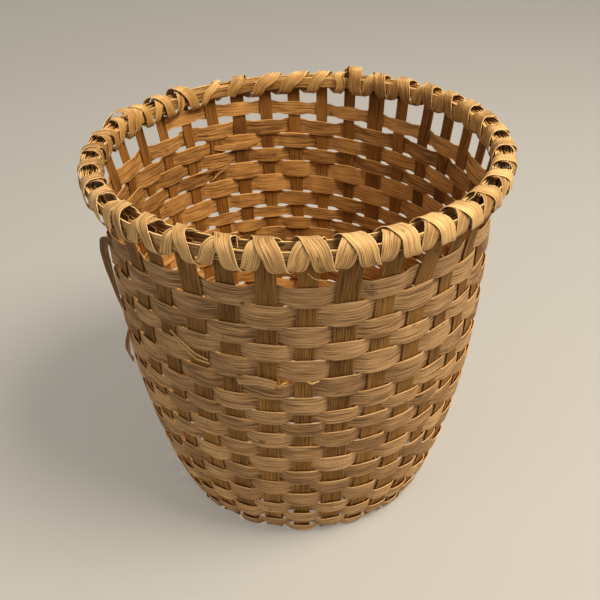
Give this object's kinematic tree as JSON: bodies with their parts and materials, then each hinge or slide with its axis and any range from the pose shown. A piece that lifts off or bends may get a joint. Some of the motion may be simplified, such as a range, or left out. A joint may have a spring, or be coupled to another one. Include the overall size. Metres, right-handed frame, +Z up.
{
  "type": "splint basket",
  "caption": "Round, open-topped basket plaited from flat wood splints, with a curved, tapering wall and a thick hoop rim bound by crossed splint lashings.",
  "frame": {"origin": "centre of the underside of the base, on the surface that the basket stands on", "axes": "+Z up along the basket's axis; -Y is the side that faces the camera in the picture"},
  "size_m": [0.4236, 0.4236, 0.4],
  "materials": {
    "stake_splint": "dry, unvarnished brown splint, matte",
    "weaver_splint": "dry, unvarnished tan splint, matte",
    "rim_filler_splint": "pale split filler strips, matte",
    "rim_hoop_splint": "dry tan hoop strips, matte",
    "lashing_splint": "smooth pale golden splint, low sheen",
    "tail_splint": "dry tan splint, matte"
  },
  "bodies": {
    "root": {"splint_front_back_1": "stake_splint", "splint_front_back_2": "stake_splint", "splint_front_back_3": "stake_splint", "splint_front_back_4": "stake_splint", "splint_front_back_5": "stake_splint", "splint_front_back_6": "stake_splint", "splint_front_back_7": "stake_splint", "splint_front_back_8": "stake_splint", "splint_front_back_9": "stake_splint", "splint_side_side_1": "stake_splint", "splint_side_side_2": "stake_splint", "splint_side_side_3": "stake_splint", "splint_side_side_4": "stake_splint", "splint_side_side_5": "stake_splint", "splint_side_side_6": "stake_splint", "splint_side_side_7": "stake_splint", "splint_side_side_8": "stake_splint", "splint_side_side_9": "stake_splint", "weaver_row_01": "weaver_splint", "weaver_row_02": "weaver_splint", "weaver_row_03": "weaver_splint", "weaver_row_04": "weaver_splint", "weaver_row_05": "weaver_splint", "weaver_row_06": "weaver_splint", "weaver_row_07": "weaver_splint", "weaver_row_08": "weaver_splint", "weaver_row_09": "weaver_splint", "weaver_row_10": "weaver_splint", "weaver_row_11": "weaver_splint", "weaver_row_12": "weaver_splint", "weaver_row_13": "weaver_splint", "weaver_row_14": "weaver_splint", "weaver_row_15": "weaver_splint", "weaver_row_16": "weaver_splint", "weaver_row_17": "weaver_splint", "weaver_row_18": "weaver_splint", "weaver_row_19": "weaver_splint", "rim_inner_filler": "rim_filler_splint", "rim_outer_filler": "rim_filler_splint", "rim_inner_hoop": "rim_hoop_splint", "rim_outer_hoop": "rim_hoop_splint", "rim_lashing_under": "lashing_splint", "rim_lashing_over": "lashing_splint", "loose_tail": "tail_splint"}
  },
  "joints": []
}
